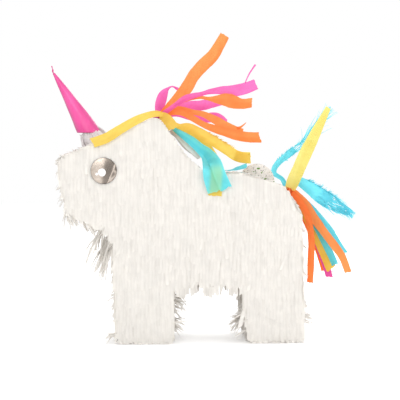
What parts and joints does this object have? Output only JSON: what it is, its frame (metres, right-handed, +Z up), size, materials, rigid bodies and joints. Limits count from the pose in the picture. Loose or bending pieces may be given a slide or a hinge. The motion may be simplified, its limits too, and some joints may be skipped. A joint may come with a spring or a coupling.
{
  "type": "pinata",
  "caption": "Hollow die-cut cardboard unicorn covered in white tissue fringe, with a paper horn, foil eyes, tissue-streamer mane and tail, a filling flap and a ribbon loop.",
  "frame": {"origin": "middle of the object's box in X and Y, at the soles of the feet on Z = 0", "axes": "nose towards -X, +Z up, the unicorn's left side faces -Y"},
  "size_m": [0.4124, 0.1011, 0.4113],
  "materials": {
    "cardboard": "matte",
    "white_tissue": "matte",
    "collar_tissue": "matte",
    "horn_paper": "satin",
    "eye_foil": "polished",
    "eye_dot_paper": "satin",
    "flap_card": "matte",
    "ribbon": "satin",
    "yellow_tissue": "matte",
    "turquoise_tissue": "matte",
    "pink_tissue": "matte",
    "orange_tissue": "matte"
  },
  "bodies": {
    "carcass": {"left_side_panel": "cardboard", "right_side_panel": "cardboard", "head_band": "cardboard", "chest_band": "cardboard", "front_foot_base": "cardboard", "underside_band": "cardboard", "rear_foot_base": "cardboard", "rump_band": "cardboard", "back_band": "cardboard", "neck_band": "cardboard", "left_head_fringe": "white_tissue", "left_shoulder_fringe": "white_tissue", "left_belly_fringe": "white_tissue", "left_leg_fringe": "white_tissue", "right_head_fringe": "white_tissue", "right_shoulder_fringe": "white_tissue", "right_belly_fringe": "white_tissue", "right_leg_fringe": "white_tissue", "head_tissue": "white_tissue", "chest_tissue": "white_tissue", "front_sole_tissue": "white_tissue", "underside_tissue": "white_tissue", "rear_sole_tissue": "white_tissue", "rump_tissue": "white_tissue", "back_tissue": "white_tissue", "neck_tissue": "white_tissue", "horn": "horn_paper", "horn_collar": "collar_tissue", "left_eye": "eye_foil", "right_eye": "eye_foil", "left_eye_dots": "eye_dot_paper", "right_eye_dots": "eye_dot_paper", "mane_root": "pink_tissue", "tail_root": "orange_tissue", "mane_yellow_forelock": "yellow_tissue", "mane_yellow_short": "yellow_tissue", "mane_yellow_long": "yellow_tissue", "mane_yellow_under": "yellow_tissue", "mane_turquoise_front": "turquoise_tissue", "mane_turquoise_rear": "turquoise_tissue", "mane_pink_loop": "pink_tissue", "mane_pink_thin": "pink_tissue", "mane_pink_wide": "pink_tissue", "mane_pink_short": "pink_tissue", "mane_orange_tall": "orange_tissue", "mane_orange_upper": "orange_tissue", "mane_orange_middle": "orange_tissue", "mane_orange_lower": "orange_tissue", "back_turquoise": "turquoise_tissue", "tail_turquoise_curl": "turquoise_tissue", "tail_yellow_upright": "yellow_tissue", "tail_turquoise_feather": "turquoise_tissue", "tail_orange_long": "orange_tissue", "tail_turquoise_inner": "turquoise_tissue", "tail_yellow_inner": "yellow_tissue", "tail_pink_inner": "pink_tissue", "tail_orange_short": "orange_tissue"},
    "flap": {"fill_flap": "flap_card"},
    "loop": {"hang_loop": "ribbon"}
  },
  "joints": [
    {"name": "flap_hinge", "type": "hinge", "parent": "carcass", "child": "flap", "pos_m": [0.07226, 0.012, 0.21089], "axis": [0.9545, 0, -0.2983], "range_deg": [-15, 90]},
    {"name": "loop_hinge", "type": "hinge", "parent": "carcass", "child": "loop", "pos_m": [-0.046, 0, 0.2805], "axis": [0, -1, 0], "range_deg": [0, 130]}
  ]
}
